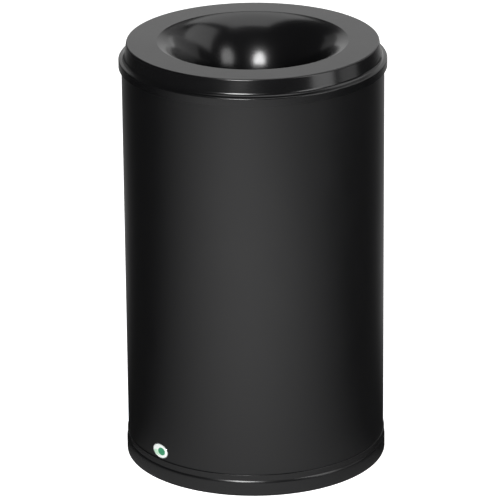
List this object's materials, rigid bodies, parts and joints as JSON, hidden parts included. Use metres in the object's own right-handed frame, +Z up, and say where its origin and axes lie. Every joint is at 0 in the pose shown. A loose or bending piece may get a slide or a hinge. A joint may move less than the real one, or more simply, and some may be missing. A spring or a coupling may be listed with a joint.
{
  "type": "waste bin",
  "caption": "Round free-standing metal waste bin with a lift-off, flame-smothering funnel head, a floor ring and a galvanised liner with swinging wire grips.",
  "frame": {"origin": "on the floor, in the middle of the base ring", "axes": "+Z up along the bin's axis; +X to the right and -Y towards the viewer of the side that shows the badge on the left; the grips are at +X and -X"},
  "size_m": [0.46, 0.46, 0.75],
  "materials": {
    "black_powder_coat": "satin black powder coat",
    "black_gloss_coat": "smooth, glossier black powder coat",
    "black_plastic": "moulded, semi-gloss black",
    "galvanised_sheet": "hot-dip galvanised, with spangle",
    "zinc_plated_steel": "bright zinc-plated wire",
    "rivet_aluminium": "plain",
    "badge_foil": "metallised foil rim",
    "badge_print": "clear resin dome over a white and green print"
  },
  "bodies": {
    "bin": {"body_shell": "black_powder_coat", "body_rim_wire": "zinc_plated_steel", "bottom_pan": "black_powder_coat", "base_ring": "black_plastic", "badge_plate": "badge_foil", "badge_dome": "badge_print"},
    "head": {"head_cover": "black_gloss_coat", "throat_wire": "zinc_plated_steel"},
    "liner": {"liner_shell": "galvanised_sheet", "liner_bottom": "galvanised_sheet", "liner_rim_wire": "zinc_plated_steel", "left_front_lug": "galvanised_sheet", "left_rear_lug": "galvanised_sheet", "right_front_lug": "galvanised_sheet", "right_rear_lug": "galvanised_sheet", "left_front_rivets": "rivet_aluminium", "left_rear_rivets": "rivet_aluminium", "right_front_rivets": "rivet_aluminium", "right_rear_rivets": "rivet_aluminium"},
    "left_grip": {"left_handle": "zinc_plated_steel"},
    "right_grip": {"right_handle": "zinc_plated_steel"}
  },
  "joints": [
    {"name": "head_lift", "type": "slide", "parent": "bin", "child": "head", "axis": [0, 0, 1], "range_m": [0, 0.4]},
    {"name": "liner_lift", "type": "slide", "parent": "bin", "child": "liner", "axis": [0, 0, 1], "range_m": [0, 0.24]},
    {"name": "left_grip_swing", "type": "hinge", "parent": "liner", "child": "left_grip", "pos_m": [-0.196, 0, 0.647], "axis": [0, -1, 0], "range_deg": [0, 175]},
    {"name": "right_grip_swing", "type": "hinge", "parent": "liner", "child": "right_grip", "pos_m": [0.196, 0, 0.647], "axis": [0, 1, 0], "range_deg": [0, 175]}
  ],
  "couplings": [
    {"joint": "liner_lift", "follows": "head_lift", "ratio": 0.6}
  ]
}
